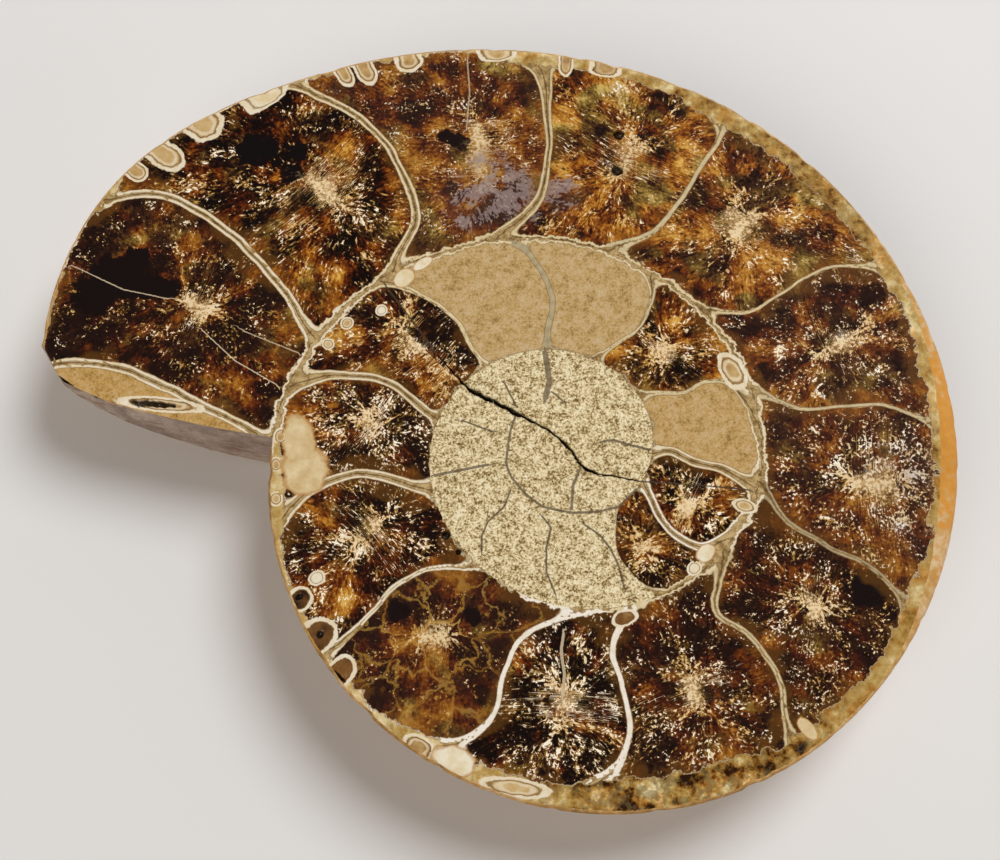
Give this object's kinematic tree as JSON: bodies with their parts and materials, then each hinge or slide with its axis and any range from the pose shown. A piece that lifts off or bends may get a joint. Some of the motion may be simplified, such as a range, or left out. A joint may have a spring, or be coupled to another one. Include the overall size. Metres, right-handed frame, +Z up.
{
  "type": "ammonite fossil half",
  "caption": "Ammonite sawn in half along its coil and polished: a flat face of crystal-filled chambers over a domed shell, lying face up.",
  "frame": {"origin": "middle of the footprint, on the surface that the shell rests on", "axes": "+Z up out of the cut face, +X along the longest side away from the aperture, +Y towards the back of the coil"},
  "size_m": [0.0928, 0.0808, 0.011],
  "materials": {
    "fossil_stone": "polished brown calcite and tan shell on the cut face, satin cream and brown shell on the dome"
  },
  "bodies": {
    "root": {"ammonite_half": "fossil_stone"}
  },
  "joints": []
}
